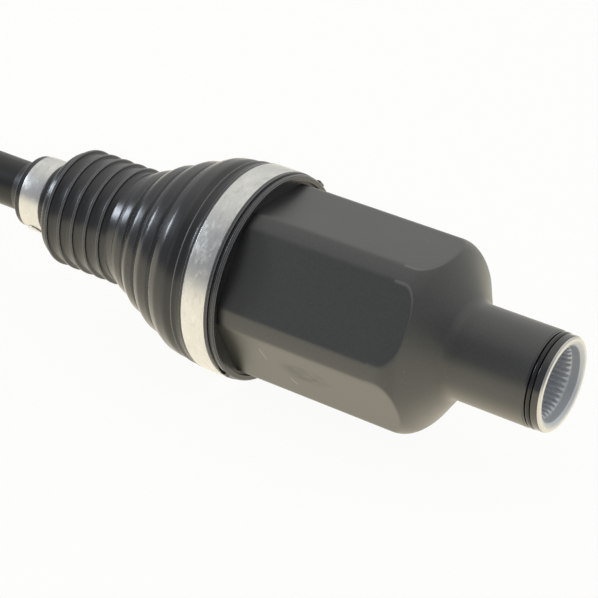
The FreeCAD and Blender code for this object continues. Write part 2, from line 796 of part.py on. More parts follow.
def outer_boot():
    c = outer_centre
    seat_r = bell_r + soft_clearance
    lip_r = seat_r + boot_wall
    first_r = lip_r - outer_crest_drop
    large_start = c - bell_seat_start
    large_end = large_start + bell_seat_width
    mouth = c - bell_mouth - 2 * soft_clearance
    small_start = c - outer_boot_small_start - outer_boot_small_width
    small_end = c - outer_boot_small_start
    small_r = outer_seat_r + soft_clearance
    span = mouth - outer_fold_start - small_end - outer_fold_start
    pitch = span / outer_crest_count
    outside = [(large_end, seat_r), (large_end, lip_r), (large_start, lip_r),
               (large_start, lip_r + collar_lip / 2), (mouth - 1, lip_r + collar_lip / 2)]
    inside = []
    for crest in range(outer_crest_count):
        share = crest / (outer_crest_count - 1)
        fold_r = first_r + (outer_crest_last_r - first_r) * share
        station = mouth - outer_fold_start - pitch * (crest + 0.5)
        outside.append((station + pitch / 2, fold_r - outer_fold_depth * (1 - share / 2)))
        outside.append((station + outer_crest_width / 2, fold_r))
        outside.append((station - outer_crest_width / 2, fold_r))
        inside.append((station + pitch / 2,
                       fold_r - outer_fold_depth * (1 - share / 2) - boot_wall))
        inside.append((station, fold_r - boot_wall))
    outside.append((small_end + outer_fold_start / 2, small_r + boot_wall + collar_lip))
    outside.append((small_end, small_r + boot_wall))
    outside.append((small_start, small_r + boot_wall))
    inside.append((small_end + outer_fold_start / 2, small_r))
    inside.append((small_start, small_r))
    throat = [(mouth, seat_r), (mouth, inside[0][1])]
    inside.reverse()
    throat.reverse()
    return turned(outside + inside + throat)


def outer_large_clamp():
    seat_r = bell_r + 2 * soft_clearance + boot_wall
    margin = (bell_seat_width - outer_clamp_width) / 2
    start = outer_centre - bell_seat_start + margin
    ring = band(seat_r, outer_clamp_thickness, start, outer_clamp_width)
    return ring.fuse(pinched_ear(seat_r, outer_clamp_thickness, start, outer_clamp_width,
                                 -ear_angle))


def outer_small_clamp():
    seat_r = outer_seat_r + 2 * soft_clearance + boot_wall
    margin = (outer_boot_small_width - outer_small_clamp_width) / 2
    start = outer_centre - outer_boot_small_start - outer_boot_small_width + margin
    ring = band(seat_r, small_clamp_thickness, start, outer_small_clamp_width)
    return ring.fuse(lapped_end(seat_r, small_clamp_thickness, start, outer_small_clamp_width))


def save(shape, name):
    solid = shape.removeSplitter() if shape.ShapeType != "Compound" else shape
    solid.exportStep("parts/" + name + ".step")
    print(name, shape.isValid(), round(shape.Volume), len(shape.Solids))


os.makedirs("parts", exist_ok=True)
save(inner_housing(), "inner_housing")
save(sleeve_seal_ring(), "sleeve_seal_ring")
save(grease_plug(), "grease_plug")
for arm_number in range(arm_count):
    turn = arm_number * 360 / arm_count
    label = str(arm_number + 1)
    save(around(roller(), turn), "roller_" + label)
    save(around(roller_retainer(), turn), "roller_retainer_" + label)
    save(around(trunnion_ring(), turn), "trunnion_ring_" + label)
    save(around(needle_set(), turn), "needle_set_" + label)
save(tripod_spider(), "tripod_spider")
save(spider_circlip(), "spider_circlip")
save(shaft_bar(), "shaft_bar")
save(housing_adapter(), "housing_adapter")
save(inner_boot(), "inner_boot")
save(inner_large_clamp(), "inner_large_clamp")
save(inner_small_clamp(), "inner_small_clamp")
save(inner_race(), "inner_race")
save(race_circlip(), "race_circlip")
save(ball_cage(), "ball_cage")
for ball_number in range(ball_count):
    save(race_ball(ball_number), "race_ball_" + str(ball_number + 1))
save(outer_bell(), "outer_bell")
save(outer_boot(), "outer_boot")
save(outer_large_clamp(), "outer_large_clamp")
save(outer_small_clamp(), "outer_small_clamp")
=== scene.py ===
import json
import math
import bpy
import numpy as np
from mathutils import Euler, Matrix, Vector


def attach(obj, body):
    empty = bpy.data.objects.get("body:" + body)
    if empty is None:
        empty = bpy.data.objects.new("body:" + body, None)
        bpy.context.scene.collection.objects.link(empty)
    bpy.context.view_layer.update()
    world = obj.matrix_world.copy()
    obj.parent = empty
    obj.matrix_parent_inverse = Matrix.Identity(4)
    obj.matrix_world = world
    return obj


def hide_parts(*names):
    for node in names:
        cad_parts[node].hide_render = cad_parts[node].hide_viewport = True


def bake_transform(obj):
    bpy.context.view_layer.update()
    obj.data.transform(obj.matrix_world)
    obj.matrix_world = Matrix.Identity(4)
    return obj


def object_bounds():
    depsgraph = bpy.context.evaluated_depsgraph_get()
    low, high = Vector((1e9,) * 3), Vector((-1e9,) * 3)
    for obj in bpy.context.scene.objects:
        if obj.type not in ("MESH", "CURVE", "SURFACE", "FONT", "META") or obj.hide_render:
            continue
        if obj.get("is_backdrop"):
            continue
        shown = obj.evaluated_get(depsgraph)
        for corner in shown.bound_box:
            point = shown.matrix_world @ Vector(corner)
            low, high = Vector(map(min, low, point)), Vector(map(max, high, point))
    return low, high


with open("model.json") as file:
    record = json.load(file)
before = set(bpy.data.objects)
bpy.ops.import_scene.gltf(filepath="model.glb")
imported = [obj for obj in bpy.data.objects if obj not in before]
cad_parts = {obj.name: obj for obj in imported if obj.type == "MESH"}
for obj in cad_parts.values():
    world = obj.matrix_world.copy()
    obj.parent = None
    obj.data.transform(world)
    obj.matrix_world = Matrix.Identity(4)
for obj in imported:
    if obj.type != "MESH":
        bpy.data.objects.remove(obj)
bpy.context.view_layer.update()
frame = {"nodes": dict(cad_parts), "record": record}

mm = 0.001


# Shader sockets

class Socket:
    def __init__(self, maker, out):
        self.maker = maker
        self.out = out

    def join(self, word, left, right):
        # plain values go through Math, colours through Mix, vectors through Vector Math
        kinds = {item.out.type for item in (left, right) if isinstance(item, Socket)}
        if "RGBA" in kinds:
            return self.maker.mix(1.0, left, right, word)
        kind = "ShaderNodeVectorMath" if "VECTOR" in kinds else "ShaderNodeMath"
        return self.maker.add(kind, {"operation": word}, {0: left, 1: right})

    def __add__(self, other):
        return self.join("ADD", self, other)

    def __radd__(self, other):
        return self.join("ADD", other, self)

    def __sub__(self, other):
        return self.join("SUBTRACT", self, other)

    def __rsub__(self, other):
        return self.join("SUBTRACT", other, self)

    def __mul__(self, other):
        return self.join("MULTIPLY", self, other)

    def __rmul__(self, other):
        return self.join("MULTIPLY", other, self)

    def __truediv__(self, other):
        return self.join("DIVIDE", self, other)

    def __rtruediv__(self, other):
        return self.join("DIVIDE", other, self)

    def __pow__(self, other):
        return self.join("POWER", self, other)

    def __rpow__(self, other):
        return self.join("POWER", other, self)

    def math(self, word, other=0.0):
        return self.maker.add("ShaderNodeMath", {"operation": word}, {0: self, 1: other})

    def smooth(self, low, high):
        # 0 below low, 1 above high, eased in between
        return self.maker.add("ShaderNodeMapRange", {"interpolation_type": "SMOOTHSTEP"},
                              {"Value": self, "From Min": low, "From Max": high})


class Maker:
    def __init__(self, tree):
        self.tree = tree
        tree.nodes.clear()

    def add(self, kind, settings=None, sockets=None, output=0):
        node = self.tree.nodes.new(kind)
        for word, value in (settings or {}).items():
            setattr(node, word, value)
        for word, value in (sockets or {}).items():
            self.feed(node.inputs[word], value)
        return Socket(self, node.outputs[output]) if node.outputs else None

    def feed(self, entry, value):
        if isinstance(value, Socket):
            self.tree.links.new(value.out, entry)
        elif entry.type == "RGBA" and len(value) == 3:
            entry.default_value = (*value, 1.0)
        else:
            entry.default_value = value

    def mix(self, factor, low, high, word="MIX"):
        # sockets 6 and 7 take the two colours, output 2 gives the mixed one
        return self.add("ShaderNodeMix", {"data_type": "RGBA", "blend_type": word},
                        {0: factor, 6: low, 7: high}, 2)

    def place(self):
        return self.add("ShaderNodeTexCoord", output=3)

    def axes(self, vector):
        return [self.add("ShaderNodeSeparateXYZ", {}, {0: vector}, output) for output in range(3)]

    def noise(self, place, scale, detail=4.0, rough=0.55, stretch=None):
        if stretch:
            place = place * stretch
        return self.add("ShaderNodeTexNoise", {},
                        {"Vector": place, "Scale": scale, "Detail": detail, "Roughness": rough})

    def attribute(self, name):
        return self.add("ShaderNodeAttribute", {"attribute_name": name}, output=2)

    def bump(self, height, distance, strength=1.0, before=None):
        sockets = {"Height": height, "Distance": distance, "Strength": strength}
        if before:
            sockets["Normal"] = before
        return self.add("ShaderNodeBump", {}, sockets)

    def surface(self, sockets):
        self.finish(self.add("ShaderNodeBsdfPrincipled", {}, sockets))

    def finish(self, shader, kind="ShaderNodeOutputMaterial"):
        self.add(kind, {}, {0: shader})


def newMaterial(name):
    material = bpy.data.materials.new(name)
    material.use_nodes = True
    return material, Maker(material.node_tree)


def dress(obj, material):
    obj.data.materials.clear()
    obj.data.materials.append(material)


# Materials

# places are metres, along the shaft and across the marked flat
paintLook = {"dark": (0.026, 0.028, 0.026), "light": (0.034, 0.036, 0.034), "wornAndHighlight": (0.24, 0.24, 0.23),
             "dustAndFloorReflection": (0.120, 0.112, 0.084), "bootShade": (0.016, 0.017, 0.018), "land": (0.010, 0.011, 0.012),
             "scuff": (0.060, 0.053, 0.044), "scratch": (0.42, 0.42, 0.40), "rough": 0.39, "ior": 1.72,
             "bareDark": (0.42, 0.42, 0.41), "bareLight": (0.66, 0.65, 0.61),
             "boreLightAndTint": (1.16, 1.22, 1.36), "bootShadeEnds": (-0.138, -0.112), "landEdge": -0.0075,
             "markedFlat": 210.0,
             "flatDepth": (0.0372, 0.0376), "scuffMiddle": (-0.098, -0.002), "scuffReach": (0.015, 0.006),
             "scratchWidth": 0.0005, "scratches": (((-0.1076, 0.0049), (-0.1046, 0.0085)),
                                                   ((-0.1189, -0.0102), (-0.1168, -0.0030)))}


def scratchMask(x, across, start, end, width):
    # 1 near the line between two points of a flat
    runX = end[0] - start[0]
    runY = end[1] - start[1]
    length = math.hypot(runX, runY)
    along = ((x - start[0]) * (runX / length) + (across - start[1]) * (runY / length)) / length
    off = ((x - start[0]) * (-runY / length) + (across - start[1]) * (runX / length)).math("ABSOLUTE")
    inside = along.smooth(-0.05, 0.15) * (1.0 - along.smooth(0.85, 1.05))
    return inside * (1.0 - off.smooth(width * 0.3, width))


def forgedPaint():
    k = paintLook
    material, m = newMaterial("forgedPaint")
    here = m.place()
    x, y, z = m.axes(here)
    broad = m.noise(here, 26.0, 3.0)
    fine = m.noise(here, 900.0, 4.0, 0.5)
    pits = m.noise(here, 1900.0, 2.0)
    bare = m.attribute("bare")
    bore = m.attribute("bore")
    wearAndHighlight = m.attribute("wearAndHighlight")
    turned = m.attribute("turned")
    # the lower front flat carries two scratches and a dull scuff
    turn = math.radians(k["markedFlat"])
    across = z * math.cos(turn) - y * math.sin(turn)
    onFlat = (y * math.cos(turn) + z * math.sin(turn)).smooth(*k["flatDepth"])
    marks = 0.0
    for start, end in k["scratches"]:
        marks = scratchMask(x, across, start, end, k["scratchWidth"]) + marks
    marks = marks * onFlat * fine.smooth(0.25, 0.5)
    alongScuff = (x - k["scuffMiddle"][0]) / k["scuffReach"][0]
    acrossScuff = (across - k["scuffMiddle"][1]) / k["scuffReach"][1]
    scuff = (alongScuff ** 2.0 + acrossScuff ** 2.0).math("SQRT")
    scuff = (1.0 - (scuff + broad * 0.8).smooth(0.7, 1.5)) * onFlat
    scuff = scuff * m.noise(here, 260.0, 6.0, 0.7, (0.5, 1.5, 1.5)).smooth(0.35, 0.6)
    specks = m.noise(here, 330.0, 2.0).smooth(0.74, 0.78)
    paint = m.mix(fine.smooth(0.3, 0.75), k["dark"], k["light"])
    # painted reflection: the sides that face down get a pale warm tone, standing in for the floor's
    # reflection
    upward = m.axes(m.add("ShaderNodeNewGeometry", output=1))[2]
    downFacingReflection = 1.0 - upward.smooth(-0.55, -0.1)
    paint = m.mix(downFacingReflection * (0.6 + broad * 0.5), paint, k["dustAndFloorReflection"])
    paint = m.mix(scuff * 0.7, paint, k["scuff"])
    # edges lighter: partly worn paint and partly a painted highlight, with random pale specks
    paint = m.mix(wearAndHighlight * broad.smooth(0.3, 0.6) * 0.5 + specks * 0.15, paint, k["wornAndHighlight"])
    paint = m.mix(marks * 0.8, paint, k["scratch"])
    # painted shade: the flats darken towards the boot, standing in for the boot's shade and its dark
    # reflection
    paint = m.mix((1.0 - x.smooth(*k["bootShadeEnds"])) * 0.5, paint, k["bootShade"])
    # the land in front of the sleeve's ring is darker and shinier
    land = x.smooth(k["landEdge"] - 0.0002, k["landEdge"] + 0.0002)
    paint = m.mix(land, paint, k["land"])
    lines = m.noise(here, 900.0, 3.0, 0.5, (14.0, 1.0, 1.0))
    metal = m.mix(lines, k["bareDark"], k["bareLight"])
    # painted light: the bore's metal is brightened against its shade, and tinted blue
    metal = m.mix(bore, metal, metal * k["boreLightAndTint"])
    rough = fine * 0.06 + broad * 0.08 + scuff * 0.12 + (k["rough"] - 0.07) - land * 0.21
    height = (broad * 0.4 + fine * 0.10 + pits * 0.05) * (1.0 - bare) * (1.0 - turned * 0.75)
    normal = m.bump(height + lines * (bare * 0.05 + turned * 0.03), 0.0002, 0.6)
    m.surface({"Base Color": m.mix(bare, paint, metal), "Metallic": bare * (1.0 - bore * 0.75),
               "Roughness": rough * (1.0 - bare) + bare * (0.3 + bore * 0.14), "IOR": k["ior"],
               "Normal": normal})
    return material


rubberLook = {"edge": (0.20, 0.205, 0.21), "speck": (0.24, 0.24, 0.23), "cloudGain": 1.6}


def rubber(name, colour, rough, dustAndFloorReflection=0.25, ior=1.52):
    material, m = newMaterial(name)
    here = m.place()
    cloud = m.noise(here, 45.0, 5.0)
    grain = m.noise(here, 900.0, 3.0)
    speck = m.noise(here, 420.0, 2.0).smooth(0.75, 0.80)
    edge = m.attribute("edge")
    pale = tuple(value * rubberLook["cloudGain"] for value in colour)
    shade = m.mix(cloud.smooth(0.3, 0.75), colour, pale)
    # painted highlight: crests and tight outward bends are lightened
    shade = m.mix(edge * (0.35 + grain * 0.55), shade, rubberLook["edge"])
    shade = m.mix(speck * dustAndFloorReflection, shade, rubberLook["speck"])
    normal = m.bump(grain * 0.3 + cloud, 0.00005, 0.4)
    m.surface({"Base Color": shade, "Roughness": cloud * 0.10 + grain * 0.06 + edge * 0.08 + (rough - 0.08),
               "IOR": ior, "Normal": normal})
    return material


def steel(name, low, high, rough, around=False, scuffs=0.0):
    material, m = newMaterial(name)
    here = m.place()
    streak = m.noise(here, 700.0, 4.0, 0.6, (16.0, 0.6, 0.6) if around else (1.0, 1.0, 1.0))
    cloud = m.noise(here, 55.0, 4.0)
    scratches = m.noise(here, 150.0, 8.0, 0.75, (1.6, 0.9, 0.9)).smooth(0.50, 0.64)
    rubs = m.noise(here, 120.0, 6.0, 0.8, (3.0, 1.2, 1.2)).smooth(0.50, 0.62)
    colour = m.mix(streak * 0.5 + cloud * 0.5, low, high)
    colour = m.mix(scratches * scuffs, colour, tuple(value * 1.25 for value in high))
    colour = m.mix(rubs * (scuffs * 0.6), colour, tuple(value * 0.62 for value in low))
    grey = streak * 0.12 + cloud * 0.12 + scratches * (scuffs * 0.3) + (rough - 0.12)
    normal = m.bump(streak + scratches * scuffs, 0.00003, 0.45)
    m.surface({"Base Color": colour, "Metallic": 1.0, "Roughness": grey, "Normal": normal})
    return material


barLook = {"dark": (0.009, 0.009, 0.0095), "light": (0.016, 0.016, 0.016), "rough": 0.30, "ior": 1.42}


def satinPaint():
    material, m = newMaterial("satinPaint")
    here = m.place()
    cloud = m.noise(here, 70.0, 5.0)
    grain = m.noise(here, 1100.0, 3.0)
    colour = m.mix(cloud.smooth(0.3, 0.8), barLook["dark"], barLook["light"])
    normal = m.bump(cloud + grain * 0.3, 0.00006, 0.5)
    m.surface({"Base Color": colour, "Roughness": cloud * 0.15 + barLook["rough"], "IOR": barLook["ior"],
               "Normal": normal})
    return material


bellLook = {"stubStart": -0.5695, "threadStart": -0.6205, "threadPitch": 0.0015,
            "threadRadii": (0.0115, 0.0119), "skinDark": (0.045, 0.046, 0.048),
            "skinLight": (0.085, 0.086, 0.088), "brightDark": (0.40, 0.40, 0.40),
            "brightLight": (0.60, 0.60, 0.59)}


def bellSteel():
    # dark forged skin on the bell, bright turned stub with a cut thread at its end
    k = bellLook
    material, m = newMaterial("bellSteel")
    here = m.place()
    x, y, z = m.axes(here)
    stub = 1.0 - x.smooth(k["stubStart"] - 0.0002, k["stubStart"] + 0.0002)
    radius = (y * y + z * z).math("SQRT")
    thread = 1.0 - x.smooth(k["threadStart"] - 0.0006, k["threadStart"])
    thread = thread * radius.smooth(*k["threadRadii"])
    turn = z.math("ARCTAN2", y) + x * (2 * math.pi / k["threadPitch"])
    flank = turn.math("SINE") * thread
    fine = m.noise(here, 700.0, 4.0)
    broad = m.noise(here, 40.0, 4.0)
    lines = m.noise(here, 800.0, 3.0, 0.5, (12.0, 0.8, 0.8))
    skin = m.mix(broad * 0.5 + fine * 0.5, k["skinDark"], k["skinLight"])
    # painted shade: the thread's roots are darker than its crests
    bright = m.mix(lines, k["brightDark"], k["brightLight"]) * (0.85 + flank * 0.15)
    height = (broad * 0.6 + fine * 0.2) * (1.0 - stub) + lines * 0.03 + flank * 1.6
    m.surface({"Base Color": m.mix(stub, skin, bright), "Metallic": stub * 0.4 + 0.6,
               "Roughness": fine * 0.1 + 0.40 - stub * 0.14, "Normal": m.bump(height, 0.0002, 0.7)})
    return material


looks = {
    "black_paint": forgedPaint(),
    "bar_paint": satinPaint(),
    "boot_rubber": rubber("bootRubber", (0.0095, 0.010, 0.0115), 0.25, ior=1.56),
    "outer_boot_rubber": rubber("outerBootRubber", (0.011, 0.011, 0.012), 0.36),
    "seal_rubber": rubber("sealRubber", (0.006, 0.006, 0.007), 0.22, 0.05),
    "adapter_plastic": rubber("adapterPlastic", (0.016, 0.017, 0.019), 0.42, 0.1),
    "clamp_steel": steel("clampSteel", (0.54, 0.54, 0.53), (0.68, 0.675, 0.655), 0.35, True, 0.5),
    "pressed_steel": steel("pressedSteel", (0.40, 0.40, 0.39), (0.56, 0.56, 0.55), 0.36),
    "joint_steel": steel("jointSteel", (0.26, 0.26, 0.27), (0.42, 0.42, 0.43), 0.32),
    "bearing_steel": steel("bearingSteel", (0.55, 0.55, 0.56), (0.72, 0.72, 0.72), 0.16),
    "spring_steel": steel("springSteel", (0.12, 0.12, 0.13), (0.24, 0.24, 0.25), 0.38),
    "cage_steel": steel("cageSteel", (0.22, 0.22, 0.23), (0.36, 0.36, 0.37), 0.34),
    "machined_steel": bellSteel(),
}
for part in frame["record"]["subparts"]:
    dress(frame["nodes"][part["node"]], looks[part["material_slot"]])
print("materials ready")


# Mesh helpers. Stations are millimetres back from the sleeve's mouth, angles run from +Y to +Z

def rounded(points, closed=False, finest=9.0):
    # each point is (station, radius) or (station, radius, corner radius)
    out = []
    count = len(points)
    for number, point in enumerate(points):
        here = np.array(point[:2], float)
        inside = closed or 0 < number < count - 1
        if len(point) < 3 or not inside:
            out.append(here)
            continue
        before = np.array(points[number - 1][:2], float) - here
        after = np.array(points[(number + 1) % count][:2], float) - here
        beforeLength = np.linalg.norm(before)
        afterLength = np.linalg.norm(after)
        before /= beforeLength
        after /= afterLength
        half = math.acos(max(-1.0, min(1.0, float(before @ after)))) / 2
        if half > math.pi / 2 - 0.01:
            out.append(here)
            continue
        run = min(point[2] / math.tan(half), 0.49 * beforeLength, 0.49 * afterLength)
        radius = run * math.tan(half)
        middle = (before + after) / np.linalg.norm(before + after)
        centre = here + middle * radius / math.sin(half)
        start = here + before * run - centre
        end = here + after * run - centre
        turn = math.pi - 2 * half
        side = math.copysign(1.0, start[0] * end[1] - start[1] * end[0])
        steps = max(3, int(math.degrees(turn) / finest))
        for step in range(steps + 1):
            a = side * turn * step / steps
            out.append(centre + np.array([start[0] * math.cos(a) - start[1] * math.sin(a),
                                          start[0] * math.sin(a) + start[1] * math.cos(a)]))
    return out


def gridMesh(name, grid, wrapRows=False, wrapColumns=True):
    # grid is rows by columns by xyz, in millimetres
    rows, columns = grid.shape[:2]
    index = np.arange(rows * columns).reshape(rows, columns)
    low = index if wrapRows else index[:-1]
    high = np.roll(index, -1, 0) if wrapRows else index[1:]
    if wrapColumns:
        corners = [low, np.roll(low, -1, 1), np.roll(high, -1, 1), high]
    else:
        corners = [low[:, :-1], low[:, 1:], high[:, 1:], high[:, :-1]]
    faces = np.stack(corners, -1).reshape(-1, 4)
    data = bpy.data.meshes.new(name)
    data.vertices.add(rows * columns)
    data.vertices.foreach_set("co", (grid.reshape(-1, 3) * mm).astype(np.float32).ravel())
    data.loops.add(faces.size)
    data.loops.foreach_set("vertex_index", faces.ravel().astype(np.int32))
    data.polygons.add(len(faces))
    data.polygons.foreach_set("loop_start", np.arange(0, faces.size, 4, dtype=np.int32))
    data.update(calc_edges=True)
    data.validate()
    points = grid.reshape(-1, 3)
    a, b, c, d = (points[faces[:, k]] for k in range(4))
    volume = np.einsum("ij,ij->i", a, np.cross(b, c)).sum() + np.einsum("ij,ij->i", a, np.cross(c, d)).sum()
    if volume < 0:
        data.flip_normals()
    data.shade_smooth()
    data.set_sharp_from_angle(angle=math.radians(38))
    obj = bpy.data.objects.new(name, data)
    bpy.context.scene.collection.objects.link(obj)
    return obj


def lathe(name, outline, segments=288, wrap=True, start=0.0):
    points = np.array(outline)
    angles = np.radians(start) + np.linspace(0, 2 * math.pi, segments, endpoint=False)
    grid = np.zeros((len(points), segments, 3))
    grid[:, :, 0] = -points[:, 0:1]
    grid[:, :, 1] = points[:, 1:2] * np.cos(angles)
    grid[:, :, 2] = points[:, 1:2] * np.sin(angles)
    return gridMesh(name, grid, wrapRows=wrap)


def setAttribute(obj, name, values):
    layer = obj.data.attributes.new(name, "FLOAT", "POINT")
    layer.data.foreach_set("value", np.asarray(values, np.float32).ravel())


def setEdges(obj, outline, columns, sharpest=0.7):
    # marks the rows where the outline bends outwards tightly, where the rubber gets a painted highlight
    points = np.array(outline)
    back = points - np.roll(points, 1, 0)
    ahead = np.roll(points, -1, 0) - points
    turn = ahead[:, 0] * back[:, 1] - ahead[:, 1] * back[:, 0]
    turn /= np.maximum(np.hypot(*back.T) * np.hypot(*ahead.T), 1e-9)
    bend = np.arcsin(np.clip(turn, -1, 1)) / (0.5 * (np.hypot(*back.T) + np.hypot(*ahead.T)) + 0.05)
    setAttribute(obj, "edge", np.repeat(np.clip(bend / sharpest - 0.25, 0, 1), columns))


def finer(outline, longest):
    # splits long runs so that a surface has rows enough to bend or to carry detail
    points = [np.array(outline[0], float)]
    for point in outline[1:]:
        point = np.array(point, float)
        length = np.linalg.norm(point - points[-1])
        steps = max(1, int(math.ceil(length / longest)))
        start = points[-1]
        for step in range(1, steps + 1):
            points.append(start + (point - start) * step / steps)
    return points


def refine(path, low, high, longest):
    # more rows, but only between two stations
    out = [path[0]]
    for point in path[1:]:
        before = out[-1]
        if low < point[0] < high and low < before[0] < high:
            out.extend(finer([before, point], longest)[1:])
        else:
            out.append(point)
    return out


# Housing

housingLook = {"segments": 672, "edgeBlend": 0.22, "toothCount": 42, "toothRoot": 15.9, "toothTip": 15.0,
               "flat": 37.95, "corner": 41.7, "crownRound": 9.0, "neckRound": 5.0, "neck": 43.2,
               "shoulder": 56.6, "sleeve": 20.5, "nose": 20.2, "end": 156.0, "ribTip": 20.5,
               "trackHalf": 16.3, "roof": 34.5, "pocketEnd": 57.6, "plugBore": 13.0, "undercut": 16.4,
               "pilot": 16.1, "chamfer": 18.0, "grooveFloor": 18.17, "grooveEnds": (3.9, 6.5),
               "boreEnd": 35.0, "toothEnd": 29.0, "toothStart": 6.4, "turnedTo": 41.0,
               "swingRadius": 13.5, "swingStart": 86.0, "swingSlope": 0.287}


def flatTurn(angles, count):
    # angle from the nearest of count directions, one of them straight up
    step = 2 * math.pi / count
    return np.abs((angles - math.pi / 2 + step / 2) % step - step / 2)


def buildHousing():
    k = housingLook
    angles = np.linspace(0, 2 * math.pi, k["segments"], endpoint=False)
    flats = k["flat"] / np.cos(flatTurn(angles, 6))
    arm = flatTurn(angles, 3)
    cavity = np.minimum(k["trackHalf"] / np.maximum(np.sin(arm), 1e-6), k["roof"] / np.cos(arm))
    cavity = np.maximum(cavity, k["ribTip"])
    # each tooth is flat on top and in the root, with straight sides between
    tooth = angles / (2 * math.pi / k["toothCount"])
    tooth = np.abs(tooth - np.round(tooth))
    teeth = k["toothRoot"] - (k["toothRoot"] - k["toothTip"]) * np.clip((tooth - 0.16) / 0.17, 0, 1)
    plain = np.ones_like(angles)
    rows = []
    marks = {"bare": [], "wearAndHighlight": [], "turned": [], "bore": []}

    def addRow(station, radii, bare, wearAndHighlight=0.0, turned=0.0, bore=1.0):
        rows.append(np.stack([np.full_like(angles, -station), radii * np.cos(angles),
                              radii * np.sin(angles)], -1))
        for name, value in (("bare", bare), ("wearAndHighlight", wearAndHighlight), ("turned", turned), ("bore", bore)):
            marks[name].append(plain * value)

    for station in (155.6, 150, 130, 110.7, 90, 75, 62, 58.4):
        # the ribs open towards the boot so that the bar can swing
        swing = k["swingRadius"] + (station - k["swingStart"]) * k["swingSlope"]
        addRow(station, np.maximum(cavity, swing), 0.0)
    addRow(k["pocketEnd"], cavity - 0.8, 0.0)
    addRow(k["pocketEnd"], plain * (k["plugBore"] + 0.6), 0.2)
    for station in (57.0, 46.0, 35.2):
        addRow(station, plain * k["plugBore"], 0.6)
    undercut = [(k["boreEnd"], k["plugBore"] + 0.2), (k["boreEnd"], k["undercut"], 0.4),
                (k["toothEnd"], k["undercut"], 0.3), (k["toothEnd"], k["toothRoot"])]
    for station, radius in rounded(undercut):
        addRow(station, plain * radius, 1.0)
    for station in (k["toothEnd"] - 0.1, 22.0, 14.0, 8.0, k["toothStart"]):
        addRow(station, teeth, 1.0)
    # the teeth run out in a chamfer
    for share in (0.25, 0.5, 0.75, 1.0):
        addRow(k["toothStart"] - share * 1.6, np.maximum(teeth, k["toothTip"] + share * 1.05), 1.0)
    mouth = [(4.6, k["pilot"]), (3.0, k["pilot"]), (1.2, k["pilot"], 0.3), (0.15, k["pilot"] + 1.1, 0.25),
             (0.0, k["chamfer"])]
    for station, radius in rounded(mouth):
        addRow(station, plain * radius, 1.0)
    nose = k["nose"]
    front, back = k["grooveEnds"]
    floor = k["grooveFloor"]
    outline = [(0.0, k["chamfer"] + 0.2), (0.0, nose - 0.9, 0.3), (0.9, nose, 0.7), (front, nose, 0.5),
               (front, floor, 0.15), (back, floor, 0.15), (back, nose, 0.3), (back + 0.6, nose, 0.3),
               (back + 0.9, k["sleeve"], 0.3), (k["neck"], k["sleeve"], k["neckRound"]),
               (k["shoulder"], k["corner"], k["crownRound"]), (k["end"] - 0.8, k["corner"], 0.6),
               (k["end"], k["corner"] - 0.8, 0.4), (k["end"], k["roof"] + 1.5)]
    path = finer(rounded(outline, finest=3.0), 1.6)
    path = refine(path, 49.0, 68.0, 0.22)
    blend = k["edgeBlend"]
    for station, radius in path:
        full = plain * radius
        gap = full - flats
        # the smaller of the round profile and the flats, with the edge between them softened
        low = flats.min()
        soft = low - blend * np.log(np.exp(-(full - low) / blend) + np.exp(-(flats - low) / blend))
        soft = np.where(gap < -3.0, full, soft)
        # paint is lighter along the edge in front of the flats, partly rubbed paint and partly a painted
        # highlight, most on the side of the middle flat, which faces the view
        facing = np.cos(angles - math.radians(150)) ** 2
        rubbedAndHighlight = np.exp(-(gap / 0.28) ** 2) * (0.15 + 0.85 * facing) * (station < 66)
        addRow(station, soft, float(station < 0.75), rubbedAndHighlight, float(station < k["turnedTo"]), 0.0)
    obj = gridMesh("housingShell", np.array(rows), wrapRows=True)
    for name, values in marks.items():
        setAttribute(obj, name, values)
    dress(obj, looks["black_paint"])
    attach(obj, "housing")
    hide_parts("inner_housing")


buildHousing()
print("housing built")


# Inner boot

bootLook = {"wall": 2.0, "end": 136.8, "seat": 43.05, "collar": 45.0, "lobeFirst": 167.0,
            "lobeFirstPitch": 12.6, "lobeLastPitch": 7.5, "lobeFirstRadius": 45.0, "lobeLastRadius": 30.1,
            "lobeDip": 0.6, "crease": 0.28, "creaseWall": 0.6, "crestFirst": 241.0, "crestPitch": 7.1,
            "crestRadius": 26.6, "rootRadius": 25.3, "crestWidth": 1.2, "splitShare": 0.42,
            "tabAngles": (225.0, 45.0), "tabHalf": 1.9}


def lobeCrests():
    k = bootLook
    crests = []
    station = k["lobeFirst"]
    for number in range(4):
        share = number / 3
        gap = k["lobeFirstPitch"] + (k["lobeLastPitch"] - k["lobeFirstPitch"]) * share
        radius = k["lobeFirstRadius"] + (k["lobeLastRadius"] - k["lobeFirstRadius"]) * share
        crests.append((station, radius, gap))
        station += gap
    return crests


def radiusAfter(crests, number):
    # radius at the foot of a lobe
    if number == len(crests) - 1:
        return bootLook["rootRadius"] + 1.2
    return crests[number + 1][1] - bootLook["lobeDip"]


